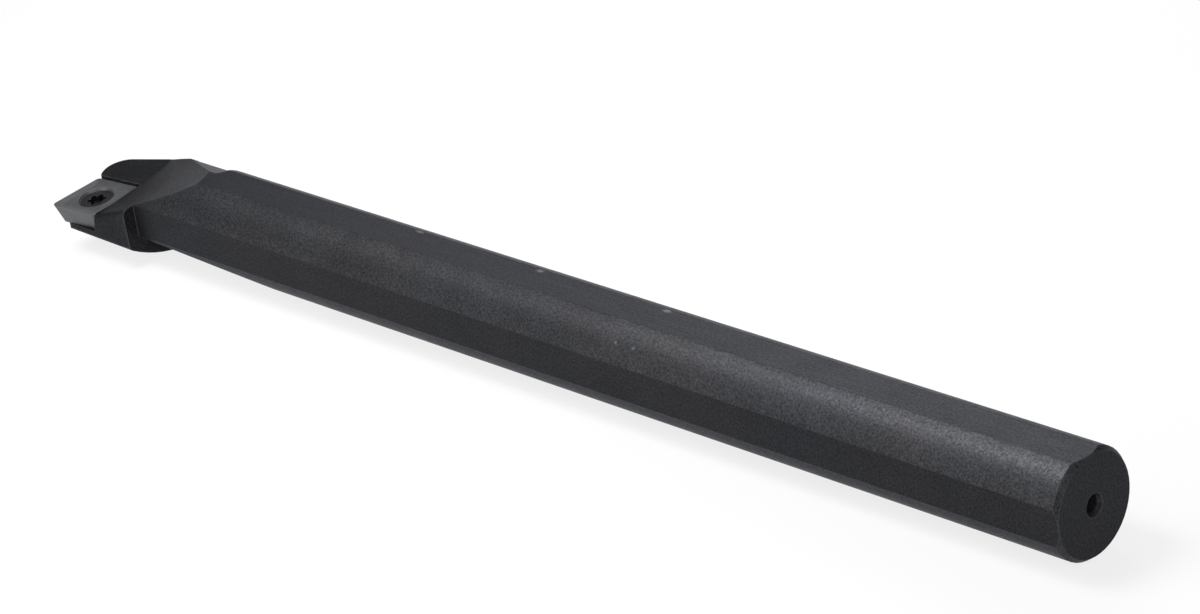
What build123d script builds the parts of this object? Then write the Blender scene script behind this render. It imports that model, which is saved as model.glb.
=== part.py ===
from build123d import *
from math import cos, radians, sin, sqrt, tan
import os

os.makedirs("parts", exist_ok=True)

# Boring bar, right hand, 5/8 in shank, for an 80 degree insert held by one screw.
# X runs along the bar from the rear face to the nose. The insert cuts on +Y and its
# rake face looks up, +Z.

# shank
bar_length = 203.8              # rear face to insert nose
shank_diameter = 15.875
flat_depth = 0.4875             # top flat and front flat, below the round
rear_chamfer = 0.75             # along the bar
rear_chamfer_depth = 0.55       # across the bar
centre_hole = 2.6
centre_mouth = 3.4
centre_depth = 6.5

# insert, 3/8 in inscribed circle
nose_to_axis = 10.7             # f dimension
corner_angle = 80
inscribed_circle = 9.525
insert_thickness = 3.18
nose_radius = 0.79
side_clearance = 11
insert_bore = 4.4
insert_mouth = 6.1
land_width = 0.14
groove_width = 0.95
groove_depth = 0.2
seat_tilt = 5.1                 # seat leans back, its front edge low

# screw, M4
screw_diameter = 4.0
screw_head = 5.6
screw_cone = 60
screw_length = 6.1
socket_size = 3.3               # across the lobes
socket_lobe = 0.42
socket_depth = 1.15

# head, a little thicker than the ground shank
head_diameter = 16.2
head_start = 186.2              # shoulder of the nose block
nose_overhang = 1.0             # nose in front of the block
block_lip = 4.35                # axis to its lower front edge, at the shoulder
block_lip_end = 3.95            # and at the end
block_tangent = 12.8            # its convex underside leaves the round here, from straight down
block_edge = 1.0                # along its lower front
block_rim = 1.0                 # along its upper front
end_setback = 1.0               # end face behind the nose, along the bar
front_corner = 2.0
fin_setback = 0.32              # rounded end of the back wall, behind the nose
fin_radius = 3.7
fin_to_axis = 1.63
back_angle = 23.2               # back of the head tapers off from its rounded end
pocket_wall = 0.55              # back wall above the rake face
ramp_start = 10.74              # behind the nose, at the level of the rake face
ramp_angle = 18
ramp_tilt = 8.3                 # its front edge low
ramp_radius = 1.0

# neck
top_relief_angle = 62           # flat on the top back edge, its normal from level
top_relief_depth = 0.9675       # below the round
top_relief_end = 174.5
top_relief_cutter = 1.7
under_relief_angle = 52         # flat on the lower front edge, its normal from level
under_relief_start = 156.4
under_relief_slope = 2.05

# clearances
seat_gap = 0.02                 # insert to pocket
screw_gap = 0.02                # screw to hole and to countersink
wall_relief = 0.8               # radius of the relief in the pocket corner

shank_radius = shank_diameter / 2
head_radius = head_diameter / 2
flat_to_axis = shank_radius - flat_depth
top_relief_to_axis = shank_radius - top_relief_depth
block_front = nose_to_axis - nose_overhang
lead = radians(90 - corner_angle) / 2                    # of both cutting edges
half_corner = radians(corner_angle / 2)
to_corner = inscribed_circle / 2 / sin(half_corner)      # insert centre to sharp nose
flare = tan(radians(side_clearance))
lean = radians(seat_tilt)
over = 2 * shank_diameter       # longer than any cut across the bar

# rake: plane of the insert's top face, at the nose, square to the bar in plan.
# face: the same plane at the insert's centre, with its nose on +x.
rake = Plane((bar_length, nose_to_axis, 0), x_dir=(1, 0, 0), z_dir=(0, sin(lean), cos(lean)))
diagonal = rake.from_local_coords((1, 1, 0)) - rake.origin
face = Plane(rake.origin - diagonal.normalized() * to_corner, x_dir=diagonal, z_dir=rake.z_dir)


def rhombus(circle, corner_radius):
    """Insert outline around an inscribed circle, nose on +x."""
    with BuildSketch() as outline:
        long = circle / 2 / sin(half_corner)
        short = circle / 2 / cos(half_corner)
        Polygon((long, 0), (0, short), (-long, 0), (0, -short))
        fillet(outline.vertices(), corner_radius)
    return outline.sketch


with BuildPart() as insert:
    with BuildSketch(face):
        add(rhombus(inscribed_circle, nose_radius))
    with BuildSketch(face.offset(-insert_thickness)):
        add(rhombus(inscribed_circle - 2 * insert_thickness * flare, nose_radius))
    loft()
    with BuildSketch(face):
        add(rhombus(inscribed_circle - 2 * land_width, nose_radius - land_width))
    with BuildSketch(face.offset(-groove_depth)):
        add(rhombus(inscribed_circle - 2 * (land_width + groove_width), nose_radius))
    loft(mode=Mode.SUBTRACT)
    with Locations(face.offset(-groove_depth)):
        CounterSinkHole(insert_bore / 2, insert_mouth / 2, insert_thickness, screw_cone)

insert.part.label = "insert"
export_step(insert.part, "parts/insert.step")

# The head's cone lies in the insert's cone, one gap inside it.
cone = tan(radians(screw_cone / 2))
head_drop = groove_depth + (insert_mouth - screw_head) / 2 / cone - screw_gap / sin(radians(screw_cone / 2))

with BuildPart() as insert_screw:
    with BuildSketch(Plane(face.origin, x_dir=face.z_dir, z_dir=face.y_dir)):
        with BuildLine():
            Polyline(
                (-head_drop, 0),
                (-head_drop, screw_head / 2),
                (-head_drop - (screw_head - screw_diameter) / 2 / cone, screw_diameter / 2),
                (0.3 - screw_length - head_drop, screw_diameter / 2),
                (-screw_length - head_drop, screw_diameter / 2 - 0.3),
                (-screw_length - head_drop, 0),
                close=True,
            )
        make_face()
    revolve(axis=Axis(face.origin, face.z_dir))
    with BuildSketch(face.offset(-head_drop)):
        Circle(socket_size / 2 - socket_lobe)
        with PolarLocations(socket_size / 2 - socket_lobe, 6):
            Circle(socket_lobe)
    extrude(amount=-socket_depth, mode=Mode.SUBTRACT)

insert_screw.part.label = "insert_screw"
export_step(insert_screw.part, "parts/insert_screw.step")

with BuildPart() as bar:
    # round bar, its rear edge turned off
    with BuildSketch(Plane.YZ):
        Circle(shank_radius)
    extrude(amount=head_start)
    chamfer(bar.edges().filter_by(GeomType.CIRCLE).sort_by(Axis.X)[0], rear_chamfer, rear_chamfer_depth)

    # front flat, up to the head
    with BuildSketch(Plane.YZ):
        with Locations((flat_to_axis, 0)):
            Rectangle(over, over, align=(Align.MIN, Align.CENTER))
    extrude(amount=head_start, mode=Mode.SUBTRACT)

    # tapered flat under the front of the neck
    down = radians(under_relief_angle)
    under = Plane((0, 0, 0), x_dir=(1, 0, 0), z_dir=(0, -sin(down), -cos(down)))
    with BuildSketch(under):
        with BuildLine():
            fall = (head_start - under_relief_start) * tan(radians(under_relief_slope))
            Polyline(
                (under_relief_start, -shank_radius),
                (head_start, fall - shank_radius),
                (head_start, -shank_diameter),
                (under_relief_start, -shank_diameter),
                close=True,
            )
        make_face()
    extrude(amount=over, both=True, mode=Mode.SUBTRACT)

    # round part of the head, and its nose block with a convex underside
    with BuildSketch(Plane.YZ.offset(head_start)):
        Circle(head_radius)
    extrude(amount=bar_length - head_start)
    leave = radians(block_tangent)
    for lip, place in ((block_lip, head_start), (block_lip_end, bar_length)):
        with BuildSketch(Plane.YZ.offset(place)):
            with BuildLine():
                underside = TangentArc(
                    (head_radius * sin(leave), -head_radius * cos(leave)),
                    (block_front, -lip),
                    tangent=(cos(leave), sin(leave)),
                )
                Polyline(underside @ 1, (block_front, flat_to_axis), (0, flat_to_axis), (0, 0), underside @ 0)
            make_face()
            fillet(vertices().sort_by_distance((block_front, -lip))[0], block_edge)
    loft()

    # top flat, over the whole length
    with BuildSketch(Plane.YZ):
        with Locations((0, flat_to_axis)):
            Rectangle(over, over, align=(Align.CENTER, Align.MIN))
    extrude(amount=bar_length, mode=Mode.SUBTRACT)

    # flat along the top back edge, with the cutter's run-out
    up = radians(top_relief_angle)
    top_back = Plane((0, 0, 0), x_dir=(1, 0, 0), z_dir=(0, -sin(up), -cos(up)))
    with BuildSketch(top_back):
        with BuildLine():
            run = sqrt(top_relief_cutter**2 - (top_relief_cutter - top_relief_depth) ** 2)
            arc_start = (top_relief_end, top_relief_to_axis)
            RadiusArc((top_relief_end - run, shank_radius), arc_start, -top_relief_cutter)
            Polyline(
                arc_start,
                (bar_length, top_relief_to_axis),
                (bar_length, shank_radius + top_relief_depth),
                (top_relief_end - run, shank_radius + top_relief_depth),
                (top_relief_end - run, shank_radius),
            )
        make_face()
    extrude(amount=over, both=True, mode=Mode.SUBTRACT)

    # plan outline of the head: its end follows the insert's end edge, and the back
    # wall ends in a large radius that runs into the back taper
    with BuildSketch():
        back = radians(back_angle)
        fin = Vector(bar_length - fin_setback - fin_radius, -fin_to_axis)
        tangent = fin + Vector(sin(back), -cos(back)) * fin_radius
        end_face = bar_length - end_setback
        with BuildLine():
            Polyline(
                (0, block_front),
                (end_face, block_front),
                (end_face - (block_front - fin.Y) * tan(lead), fin.Y),
                tangent,
                tangent - Vector(cos(back), sin(back)) * over,
                (0, tangent.Y - sin(back) * over),
                close=True,
            )
        make_face()
        fillet(vertices().group_by(Axis.Y)[-1].sort_by(Axis.X)[-1], front_corner)
        with Locations(fin):
            Circle(fin_radius)
    extrude(amount=over, both=True, mode=Mode.INTERSECT)

    # top of the head: level with the back wall, then a ramp up to the top flat that falls
    # more towards the front than the seat does
    fall = radians(ramp_tilt)
    across = Plane(rake.origin, x_dir=(1, 0, 0), z_dir=(0, -cos(fall), sin(fall)))
    slope = tan(radians(ramp_angle))
    with BuildPart(mode=Mode.PRIVATE) as head_top:
        with BuildSketch(across):
            Polygon(
                (-ramp_start - over, over * slope),
                (over - ramp_start, -over * slope),
                (over - ramp_start, over * slope),
                align=None,
            )
        extrude(amount=over, both=True)
        with BuildSketch(rake.offset(pocket_wall)):
            Rectangle(bar_length, bar_length)
        extrude(amount=over, mode=Mode.INTERSECT)
        fillet(edges().sort_by_distance(face.from_local_coords((-to_corner, 0)))[0], ramp_radius)
    add(head_top.part, mode=Mode.SUBTRACT)

    # in front of the pocket's corner the ramp runs on, down to the rear wall
    floor = inscribed_circle / 2 - insert_thickness * flare + seat_gap
    pocket_corner = (-floor / sin(half_corner), 0)
    corner = across.to_local_coords(face.from_local_coords(pocket_corner))
    inside = corner.X + 2 * wall_relief
    with BuildSketch(across.offset(corner.Z)):
        Polygon(
            (-ramp_start - over, over * slope),
            (inside, -(ramp_start + inside) * slope),
            (inside, over * slope),
            align=None,
        )
    extrude(amount=-over, mode=Mode.SUBTRACT)

    # insert pocket: floor and two walls that follow the insert's flanks
    with BuildSketch(face.offset(-insert_thickness - seat_gap)):
        with Locations(pocket_corner):
            Polygon(
                (0, 0),
                (over * cos(half_corner), over * sin(half_corner)),
                (over * cos(half_corner), -over * sin(half_corner)),
                align=None,
            )
    extrude(amount=insert_thickness + 2 * pocket_wall, taper=-side_clearance, mode=Mode.SUBTRACT)
    with BuildSketch(face.offset(-insert_thickness - seat_gap)):
        with Locations(pocket_corner):
            Circle(wall_relief)
    extrude(amount=insert_thickness + 2 * pocket_wall, mode=Mode.SUBTRACT)

    fillet(bar.faces().sort_by(Axis.Y)[-1].edges().sort_by(Axis.Z)[-1], block_rim)

    # tapped hole through the seat, centre hole in the rear face
    with Locations(face.offset(-insert_thickness)):
        Hole(screw_diameter / 2 + screw_gap)
    with Locations(Plane((0, 0, 0), x_dir=(0, 1, 0), z_dir=(-1, 0, 0))):
        CounterSinkHole(centre_hole / 2, centre_mouth / 2, centre_depth, 60)

bar.part.label = "bar"
export_step(bar.part, "parts/bar.step")
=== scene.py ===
from math import radians

import bpy
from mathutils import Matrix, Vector


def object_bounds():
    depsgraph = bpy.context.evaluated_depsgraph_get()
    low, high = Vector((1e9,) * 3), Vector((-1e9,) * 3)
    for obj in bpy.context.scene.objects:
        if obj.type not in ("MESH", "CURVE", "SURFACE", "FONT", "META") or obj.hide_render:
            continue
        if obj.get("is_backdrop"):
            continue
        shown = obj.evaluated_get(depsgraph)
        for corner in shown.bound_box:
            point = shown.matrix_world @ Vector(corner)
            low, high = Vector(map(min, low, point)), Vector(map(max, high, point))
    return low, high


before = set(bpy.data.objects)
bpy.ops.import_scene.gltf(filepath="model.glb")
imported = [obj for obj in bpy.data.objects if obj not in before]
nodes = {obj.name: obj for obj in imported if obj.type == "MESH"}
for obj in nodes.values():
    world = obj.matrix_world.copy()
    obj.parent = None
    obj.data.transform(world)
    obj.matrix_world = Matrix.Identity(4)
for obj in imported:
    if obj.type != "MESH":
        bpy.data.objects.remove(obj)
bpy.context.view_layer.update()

print("frame loaded:", ", ".join(sorted(nodes)))


def join(tree, value, socket):
    # a link where the value is a socket, a plain value otherwise
    if isinstance(value, bpy.types.NodeSocket):
        tree.links.new(value, socket)
    elif value is not None:
        socket.default_value = value


def addNode(tree, kind, **settings):
    node = tree.nodes.new(kind)
    for name, value in settings.items():
        setattr(node, name, value)
    return node


def fill(node, **inputs):
    # numbers and colours for a node's inputs, by name, with spaces left out of the names
    for socket in node.inputs:
        key = socket.name.replace(" ", "")
        if key in inputs and socket.enabled:
            socket.default_value = inputs[key]
    return node


def mathNode(tree, operation, a, b, clamp=False):
    # a and b are sockets or plain numbers
    node = addNode(tree, "ShaderNodeMath", operation=operation, use_clamp=clamp)
    for socket, value in zip(node.inputs, (a, b)):
        join(tree, value, socket)
    return node.outputs[0]


def vectorNode(tree, operation, a, b=None):
    # b is left out for a length
    node = addNode(tree, "ShaderNodeVectorMath", operation=operation)
    for socket, value in zip(node.inputs, (a, b)):
        join(tree, value, socket)
    return node.outputs["Value" if operation in ("LENGTH", "DOT_PRODUCT") else "Vector"]


def mapRange(tree, value, fromMin, fromMax, toMin=0.0, toMax=1.0, smooth=False):
    node = addNode(tree, "ShaderNodeMapRange", interpolation_type="SMOOTHSTEP" if smooth else "LINEAR")
    tree.links.new(value, node.inputs["Value"])
    fill(node, FromMin=fromMin, FromMax=fromMax, ToMin=toMin, ToMax=toMax)
    return node.outputs["Result"]


def spread(tree, value, middle, reach, fromMin=0, fromMax=1):
    # a value of fromMin to fromMax becomes middle - reach to middle + reach
    return mapRange(tree, value, fromMin, fromMax, middle - reach, middle + reach)


def mixColour(tree, factor, a, b, blend="MIX"):
    node = addNode(tree, "ShaderNodeMix", data_type="RGBA", blend_type=blend)
    for socket, value in zip((node.inputs[0], node.inputs[6], node.inputs[7]), (factor, a, b)):
        join(tree, value, socket)
    return node.outputs[2]


def mixFloat(tree, factor, a, b):
    node = addNode(tree, "ShaderNodeMix", data_type="FLOAT")
    for socket, value in zip((node.inputs[0], node.inputs[2], node.inputs[3]), (factor, a, b)):
        join(tree, value, socket)
    return node.outputs[0]


def timesGrey(tree, colour, level):
    # the colour times one number
    grey = addNode(tree, "ShaderNodeCombineColor")
    for socket in grey.inputs:
        tree.links.new(level, socket)
    return mixColour(tree, 1.0, colour, grey.outputs[0], "MULTIPLY")


def noise(tree, vector, scale, detail=2.0, roughness=0.55, distortion=0.0):
    node = addNode(tree, "ShaderNodeTexNoise", noise_dimensions="3D")
    tree.links.new(vector, node.inputs["Vector"])
    fill(node, Detail=detail, Roughness=roughness, Distortion=distortion)
    join(tree, scale, node.inputs["Scale"])
    return node.outputs[0]


def newGroup(name, inputs, outputs):
    # an empty group with named sockets: inputs as (name, kind, value), outputs as (name, kind)
    tree = bpy.data.node_groups.new(name, "ShaderNodeTree")
    for label, kind, value in inputs:
        socket = tree.interface.new_socket(label, in_out="INPUT", socket_type=kind)
        if value is not None:
            socket.default_value = value
    for label, kind in outputs:
        tree.interface.new_socket(label, in_out="OUTPUT", socket_type=kind)
    return tree, tree.nodes.new("NodeGroupInput").outputs, tree.nodes.new("NodeGroupOutput").inputs


def useGroup(tree, group, **inputs):
    node = addNode(tree, "ShaderNodeGroup", node_tree=group)
    for socket in node.inputs:
        join(tree, inputs.get(socket.name.replace(" ", "")), socket)
    return node.outputs


noiseSpan = (0.3, 0.7)                        # between which most values of a noise lie
grainSpan = (0.28, 0.72)                      # the same for the specks, a little softer
edgeSpan = (0.995, 0.85)                      # cosines of the turn between which an edge grows from 0 to 1


def makeSpeckle():
    # fine grain of a blackened or ground surface, a slow cloud, and a slower tint read elsewhere
    tree, given, out = newGroup(
        "surfaceSpeckle",
        [("Vector", "NodeSocketVector", None), ("Grain Size", "NodeSocketFloat", 0.0004),
         ("Cloud Size", "NodeSocketFloat", 0.008)],
        [("Grain", "NodeSocketFloat"), ("Cloud", "NodeSocketFloat"), ("Tint", "NodeSocketFloat")])
    where = given["Vector"]
    elsewhere = vectorNode(tree, "ADD", where, (0.7, 0.3, 0.1))
    perGrain = mathNode(tree, "DIVIDE", 1.0, given["Grain Size"])
    perCloud = mathNode(tree, "DIVIDE", 1.0, given["Cloud Size"])
    perTint = mathNode(tree, "DIVIDE", 0.35, given["Cloud Size"])
    grain = noise(tree, where, perGrain, roughness=0.65)
    cloud = noise(tree, where, perCloud, detail=3.0, roughness=0.6, distortion=0.4)
    tint = noise(tree, elsewhere, perTint, roughness=0.5)
    tree.links.new(mapRange(tree, grain, *grainSpan), out["Grain"])
    tree.links.new(mapRange(tree, cloud, *noiseSpan), out["Cloud"])
    tree.links.new(mapRange(tree, tint, *noiseSpan), out["Tint"])
    return tree


def makeToolMarks():
    # fine marks that a cutter leaves: a noise drawn out fifty times along them
    tree, given, out = newGroup(
        "toolMarks",
        [("Vector", "NodeSocketVector", None), ("Spacing", "NodeSocketFloat", 0.0002)],
        [("Along Bar", "NodeSocketFloat"), ("Round Bar", "NodeSocketFloat"), ("Faced", "NodeSocketFloat")])
    scaled = addNode(tree, "ShaderNodeVectorMath", operation="SCALE")
    tree.links.new(given["Vector"], scaled.inputs[0])
    tree.links.new(mathNode(tree, "DIVIDE", 1.0, given["Spacing"]), scaled.inputs["Scale"])
    for name, drawnOut in (("Along Bar", (0.02, 1, 1)), ("Round Bar", (1, 0.02, 0.02))):
        marks = vectorNode(tree, "MULTIPLY", scaled.outputs[0], drawnOut)
        tree.links.new(noise(tree, marks, 1.0), out[name])
    # circles round the axis: the noise reads only the distance from it
    square = vectorNode(tree, "MULTIPLY", scaled.outputs[0], (0, 1, 1))
    circles = addNode(tree, "ShaderNodeCombineXYZ")
    tree.links.new(vectorNode(tree, "LENGTH", square), circles.inputs[0])
    tree.links.new(noise(tree, circles.outputs[0], 1.0), out["Faced"])
    return tree


def makeEdgeRubAndGlint():
    # near an edge the rounded normal leaves the face's own one, and the mask grows; the colours lighten the
    # edges with it, partly as rub wear and partly as a painted highlight
    tree, given, out = newGroup(
        "edgeRubAndGlint",
        [("Radius", "NodeSocketFloat", 0.0002), ("Strength", "NodeSocketFloat", 0.5)],
        [("Mask", "NodeSocketFloat"), ("Normal", "NodeSocketVector")])
    bevel = addNode(tree, "ShaderNodeBevel", samples=6)
    tree.links.new(given["Radius"], bevel.inputs["Radius"])
    shape = addNode(tree, "ShaderNodeNewGeometry")
    likeness = vectorNode(tree, "DOT_PRODUCT", bevel.outputs[0], shape.outputs["True Normal"])
    edge = mapRange(tree, likeness, *edgeSpan)
    tree.links.new(mathNode(tree, "MULTIPLY", edge, given["Strength"], clamp=True), out["Mask"])
    tree.links.new(bevel.outputs[0], out["Normal"])
    return tree


speckleGroup = makeSpeckle()
marksGroup = makeToolMarks()
edgeGroup = makeEdgeRubAndGlint()
print("shared effects made")


def startMaterial(name, finish):
    # the material, its tree and shader, the coordinates, the specks and the edges
    material = bpy.data.materials.new(name)
    material.use_nodes = True
    tree = material.node_tree
    shader = tree.nodes["Principled BSDF"]
    fill(shader, Metallic=finish["metallic"], SpecularIORLevel=finish["specular"],
         SpecularTint=finish["sheen"])
    where = addNode(tree, "ShaderNodeTexCoord").outputs["Object"]
    speckle = useGroup(tree, speckleGroup, Vector=where, GrainSize=finish["grainSize"],
                       CloudSize=finish["cloudSize"])
    edge = useGroup(tree, edgeGroup, Radius=finish["edge"], Strength=finish["edgeStrength"])
    return material, tree, shader, where, speckle, edge


def addBump(tree, shader, height, normal, finish):
    bump = addNode(tree, "ShaderNodeBump")
    fill(bump, Strength=finish["bump"], Distance=finish["bumpDepth"])
    tree.links.new(height, bump.inputs["Height"])
    tree.links.new(normal, bump.inputs["Normal"])
    tree.links.new(bump.outputs[0], shader.inputs["Normal"])


def paint(piece, material):
    piece.data.materials.clear()
    piece.data.materials.append(material)


barFinish = {
    "colour": (0.0420, 0.0435, 0.0490, 1),    # blackened steel
    "warm": (0.0445, 0.0446, 0.0478, 1),      # its faint brown patches
    "sheen": (0.45, 0.46, 0.50, 1),           # colour of the gloss at a low angle
    "metallic": 0.5,
    "specular": 0.1,
    "roughness": 0.42,
    "roughnessReach": 0.04,                   # how far the clouds change it
    "markReach": 0.05,                        # and the tool marks
    "grainReach": 0.03,                       # and the specks
    "grain": 0.48,                            # how far the specks lighten and darken
    "cloud": 0.1,                             # and the clouds
    "grainSize": 0.00034,                     # metres, as are all sizes below
    "cloudSize": 0.007,
    "markSpacing": 0.00018,
    "milledLevel": 0.62,                      # how bright the milled flats are beside the turned shank, partly a duller milled finish and partly painted shade
    "headLevel": 0.45,                        # and the head's milled faces, partly a duller milled finish and mostly painted shade for the dimmer light there
    "flatHeight": 0.00745,                    # of both flats, over the axis
    "headStart": (0.176, 0.190),              # where the turned shank gives way to the milled head
    "rubbed": (0.16, 0.165, 0.175, 1),        # bare steel at the edges, partly rub wear and partly a painted highlight
    "edge": 0.00022,                          # how wide an edge is rubbed
    "edgeStrength": 0.8,
    "edgePatches": (0.5, 1.0),                # the clouds leave so much of it
    "bump": 0.5,
    "bumpDepth": 0.00002,
    "markHeight": 0.35,                       # the tool marks' part of the bump, the rest is the specks'
    "scuffs": [                               # centre and half sizes of the small light marks
        ((0.1285, -0.00235, 0.00745), (0.0008, 0.0003, 0.0004)),
        ((0.10262, -0.00211, 0.00745), (0.0007, 0.0004, 0.0004)),
        ((0.07707, -0.00216, 0.00745), (0.0008, 0.0004, 0.0004)),
        ((0.0800, 0.0058, 0.0054), (0.00025, 0.00025, 0.00025)),
        ((0.0765, 0.0058, 0.0054), (0.00025, 0.00025, 0.00025)),
    ],
    "scuffColour": (0.14, 0.14, 0.145, 1),
    "scuffStrength": 0.8,
    "scuffRagged": 2600.0,                    # noise that breaks them up, per metre
    "scuffRim": (0.8, 1.8),                   # where they fade out, in half sizes with that noise added
}
hair = 0.00001                                # metres, how near a point counts as on a face


def scuffMask(tree, where, finish):
    # 1 inside any of the small ovals, ragged and soft at the rim
    mask = None
    ragged = noise(tree, where, finish["scuffRagged"])
    for centre, size in finish["scuffs"]:
        offset = vectorNode(tree, "SUBTRACT", where, centre)
        oval = vectorNode(tree, "MULTIPLY", offset, [1 / half for half in size])
        reach = mathNode(tree, "ADD", vectorNode(tree, "LENGTH", oval), ragged)
        spot = mapRange(tree, reach, *finish["scuffRim"], 1, 0)
        mask = spot if mask is None else mathNode(tree, "MAXIMUM", mask, spot)
    return mathNode(tree, "MULTIPLY", mask, finish["scuffStrength"])


def makeBarMaterial(finish):
    material, tree, shader, where, speckle, edge = startMaterial("blackenedSteel", finish)
    marks = useGroup(tree, marksGroup, Vector=where, Spacing=finish["markSpacing"])
    # flat: 1 on the two long flats; rear: 1 on the rear face; head: 0 to 1 over the neck
    split = addNode(tree, "ShaderNodeSeparateXYZ")
    tree.links.new(where, split.inputs[0])
    along, across, up = split.outputs
    flat = mathNode(tree, "GREATER_THAN", mathNode(tree, "MAXIMUM", across, up), finish["flatHeight"] - hair)
    rear = mathNode(tree, "LESS_THAN", along, hair)
    head = mapRange(tree, along, *finish["headStart"], smooth=True)
    # colour: two steels in patches, specked, darker on the flats, rear face and head (partly a milled
    # finish, partly painted shade), lighter at edges (partly rub wear, partly a painted highlight) and at
    # scuffs
    steel = mixColour(tree, speckle["Tint"], finish["colour"], finish["warm"])
    level = mathNode(tree, "MULTIPLY", spread(tree, speckle["Grain"], 1, finish["grain"]),
                     spread(tree, speckle["Cloud"], 1, finish["cloud"]))
    ends = mathNode(tree, "MAXIMUM", flat, rear)
    # painted shade: the flats, rear face and head are darkened, partly as a duller milled finish
    milledAndShade = mathNode(tree, "MINIMUM", mapRange(tree, ends, 0, 1, 1, finish["milledLevel"]),
                      mapRange(tree, head, 0, 1, 1, finish["headLevel"]))
    steel = timesGrey(tree, steel, mathNode(tree, "MULTIPLY", level, milledAndShade))
    rubAndGlint = mathNode(tree, "MULTIPLY", edge["Mask"],
                   mapRange(tree, speckle["Cloud"], 0, 1, *finish["edgePatches"]))
    # painted highlight: the edges are lightened, partly as rub wear
    steel = mixColour(tree, rubAndGlint, steel, finish["rubbed"])
    steel = mixColour(tree, scuffMask(tree, where, finish), steel, finish["scuffColour"])
    tree.links.new(steel, shader.inputs["Base Color"])
    # marks: rings round the shank, lines along the flats and head, circles on the rear face
    lines = mixFloat(tree, mathNode(tree, "MAXIMUM", flat, head), marks["Round Bar"], marks["Along Bar"])
    lines = mixFloat(tree, rear, lines, marks["Faced"])
    rough = mathNode(tree, "ADD", spread(tree, lines, 0, finish["markReach"], *noiseSpan),
                     spread(tree, speckle["Cloud"], finish["roughness"], finish["roughnessReach"]))
    rough = mathNode(tree, "ADD", rough, spread(tree, speckle["Grain"], 0, -finish["grainReach"]))
    tree.links.new(rough, shader.inputs["Roughness"])
    height = mathNode(tree, "ADD", mathNode(tree, "MULTIPLY", lines, finish["markHeight"]),
                      mathNode(tree, "MULTIPLY", speckle["Grain"], 1 - finish["markHeight"]))
    addBump(tree, shader, height, edge["Normal"], finish)
    return material


insertFinish = {
    "colour": (0.128, 0.1300, 0.136, 1),      # ground carbide
    "sheen": (0.5, 0.5, 0.52, 1),
    "metallic": 0.6,
    "specular": 0.2,
    "roughness": 0.38,
    "roughnessReach": 0.05,
    "grain": 0.12,
    "cloud": (0.88, 1.1),                     # how far the clouds darken and lighten
    "grainSize": 0.00025,
    "cloudSize": 0.003,
    # lighter edges, partly rub wear and partly a painted highlight
    "rubbed": (0.45, 0.45, 0.45, 1),
    "edge": 0.00006,
    "edgeStrength": 0.7,
    "bump": 0.2,
    "bumpDepth": 0.00001,
}


def makeInsertMaterial(finish):
    material, tree, shader, where, speckle, edge = startMaterial("groundCarbide", finish)
    level = mathNode(tree, "MULTIPLY", spread(tree, speckle["Grain"], 1, finish["grain"]),
                     mapRange(tree, speckle["Cloud"], 0, 1, *finish["cloud"]))
    carbide = timesGrey(tree, finish["colour"], level)
    tree.links.new(mixColour(tree, edge["Mask"], carbide, finish["rubbed"]), shader.inputs["Base Color"])
    tree.links.new(spread(tree, speckle["Cloud"], finish["roughness"], finish["roughnessReach"]),
                   shader.inputs["Roughness"])
    addBump(tree, shader, speckle["Grain"], edge["Normal"], finish)
    return material


screwFinish = {
    "colour": (0.02, 0.02, 0.022, 1),         # oiled black steel
    "dark": (0.016, 0.016, 0.018, 1),         # its specks
    "sheen": (1, 1, 1, 1),
    "metallic": 0.6,
    "specular": 0.5,
    "roughness": 0.38,
    "roughnessReach": 0.06,
    "grainSize": 0.0002,
    "cloudSize": 0.002,
    # lighter edges, partly rub wear and partly a painted highlight
    "rubbed": (0.09, 0.09, 0.095, 1),
    "edge": 0.00008,
    "edgeStrength": 0.8,
    "bump": 0.2,
    "bumpDepth": 0.00001,
}


def makeScrewMaterial(finish):
    material, tree, shader, where, speckle, edge = startMaterial("blackScrew", finish)
    steel = mixColour(tree, speckle["Grain"], finish["dark"], finish["colour"])
    tree.links.new(mixColour(tree, edge["Mask"], steel, finish["rubbed"]), shader.inputs["Base Color"])
    tree.links.new(spread(tree, speckle["Cloud"], finish["roughness"], finish["roughnessReach"]),
                   shader.inputs["Roughness"])
    addBump(tree, shader, speckle["Grain"], edge["Normal"], finish)
    return material


paint(nodes["bar"], makeBarMaterial(barFinish))
paint(nodes["insert"], makeInsertMaterial(insertFinish))
paint(nodes["insert_screw"], makeScrewMaterial(screwFinish))
print("materials given")


studio = {
    "floorColour": (0.93, 0.93, 0.93, 1),
    "floorGlow": 0.8,                         # how much of the floor's white is its own
    "floorRoughness": 0.9,
    "floorHalf": 4.0,                         # metres from the middle to the floor's edge
    "backdrop": 0.95,                         # the dome's brightness at the horizon
    "low": 0.02,                              # just over the backdrop
    "zenith": 0.25,                           # and overhead
    "fade": (0.06, 0.14),                     # heights between which the backdrop ends, of 1
    "rise": (0.15, 0.9),                      # and between which the dome brightens
    "lamps": [                                # name, place, point aimed at, side, watts
        ("over", (0.17, 0.05, 0.28), (0.0, 0.0, 0.0), 0.12, 0.55),
        ("rearOver", (0.22, 0.12, 0.26), (0.0, 0.0, 0.0), 0.18, 0.34),
        ("rearSide", (0.22, 0.28, 0.14), (0.0, 0.0, 0.0), 0.18, 0.21),
        ("fill", (-0.50, 0.20, 0.32), (0.0, 0.0, 0.0), 0.35, 0.8),
        ("behindRear", (0.28, -0.38, 0.30), (0.03, 0.0, 0.0), 0.25, 0.68),
        ("behindMiddle", (0.42, -0.34, 0.26), (0.09, 0.0, 0.0), 0.25, 0.42),
    ],
}


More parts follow.
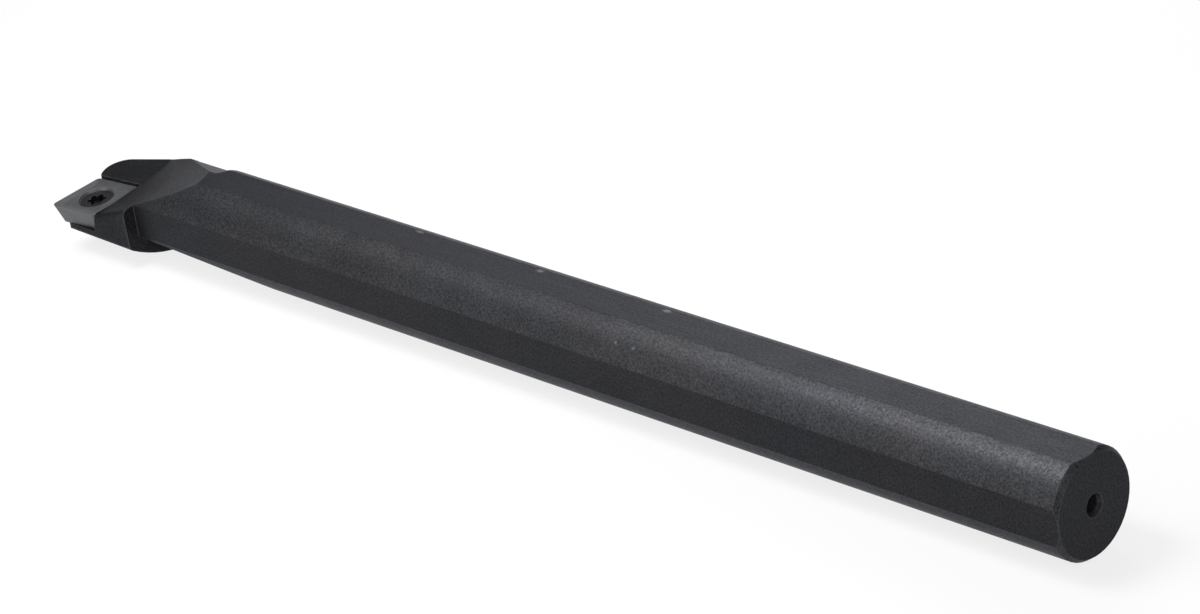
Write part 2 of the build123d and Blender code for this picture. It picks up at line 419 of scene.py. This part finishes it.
def makeFloor(settings):
    low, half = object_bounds()[0].z, settings["floorHalf"]
    corners = [(-half, -half, low), (half, -half, low), (half, half, low), (-half, half, low)]
    mesh = bpy.data.meshes.new("floor")
    mesh.from_pydata(corners, [], [(0, 1, 2, 3)])
    floor = bpy.data.objects.new("floor", mesh)
    bpy.context.scene.collection.objects.link(floor)
    material = bpy.data.materials.new("paleFloor")
    material.use_nodes = True
    tree = material.node_tree
    shader = tree.nodes["Principled BSDF"]
    fill(shader, BaseColor=settings["floorColour"], Roughness=settings["floorRoughness"],
         SpecularIORLevel=0.0)
    # the floor's own white is for what the camera, a reflection or a clear body sees
    rays = addNode(tree, "ShaderNodeLightPath").outputs
    seen = mathNode(tree, "MAXIMUM", rays["Is Camera Ray"], rays["Is Glossy Ray"])
    seen = mathNode(tree, "MAXIMUM", seen, rays["Is Transmission Ray"])
    glow = fill(addNode(tree, "ShaderNodeEmission"), Color=(1, 1, 1, 1), Strength=1.0)
    both = addNode(tree, "ShaderNodeMixShader")
    tree.links.new(mathNode(tree, "MULTIPLY", seen, settings["floorGlow"]), both.inputs[0])
    tree.links.new(shader.outputs[0], both.inputs[1])
    tree.links.new(glow.outputs[0], both.inputs[2])
    tree.links.new(both.outputs[0], tree.nodes["Material Output"].inputs["Surface"])
    paint(floor, material)
    floor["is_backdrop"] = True


def makeWorld(settings):
    # a studio dome: a pale backdrop at the horizon, dim above it and brighter overhead
    world = bpy.data.worlds.new("studio")
    bpy.context.scene.world = world
    world.use_nodes = True
    tree = world.node_tree
    background = fill(tree.nodes["Background"], Color=(1, 1, 1, 1))
    split = addNode(tree, "ShaderNodeSeparateXYZ")
    tree.links.new(addNode(tree, "ShaderNodeTexCoord").outputs["Generated"], split.inputs[0])
    height = split.outputs[2]
    dome = mapRange(tree, height, *settings["rise"], settings["low"], settings["zenith"], smooth=True)
    backdrop = mapRange(tree, height, *settings["fade"], settings["backdrop"], 0, smooth=True)
    tree.links.new(mathNode(tree, "MAXIMUM", dome, backdrop), background.inputs["Strength"])


def makeLamps(settings):
    for name, place, aim, side, watts in settings["lamps"]:
        lamp = bpy.data.lights.new(name, "AREA")
        lamp.shape = "SQUARE"
        lamp.size = side
        lamp.energy = watts
        holder = bpy.data.objects.new(name, lamp)
        holder.visible_camera = False
        holder.location = place
        holder.rotation_euler = (Vector(aim) - Vector(place)).to_track_quat("-Z", "Y").to_euler()
        bpy.context.scene.collection.objects.link(holder)


viewpoint = {
    "location": (-0.292452, 0.341679, 0.264624),
    "turn": (62.92066, 7.94984, -135.92974),  # degrees
    "lens": 120.175,
    "sensor": 36.0,
    "clip": (0.01, 20),                       # metres
}


def makeCamera(settings):
    lens = bpy.data.cameras.new("camera")
    lens.lens = settings["lens"]
    lens.sensor_width = settings["sensor"]
    lens.clip_start, lens.clip_end = settings["clip"]
    camera = bpy.data.objects.new("camera", lens)
    camera.location = settings["location"]
    camera.rotation_euler = [radians(turn) for turn in settings["turn"]]
    bpy.context.scene.collection.objects.link(camera)
    bpy.context.scene.camera = camera


makeFloor(studio)
makeWorld(studio)
makeLamps(studio)
makeCamera(viewpoint)
bpy.context.scene.view_settings.view_transform = "Standard"
print("studio ready")
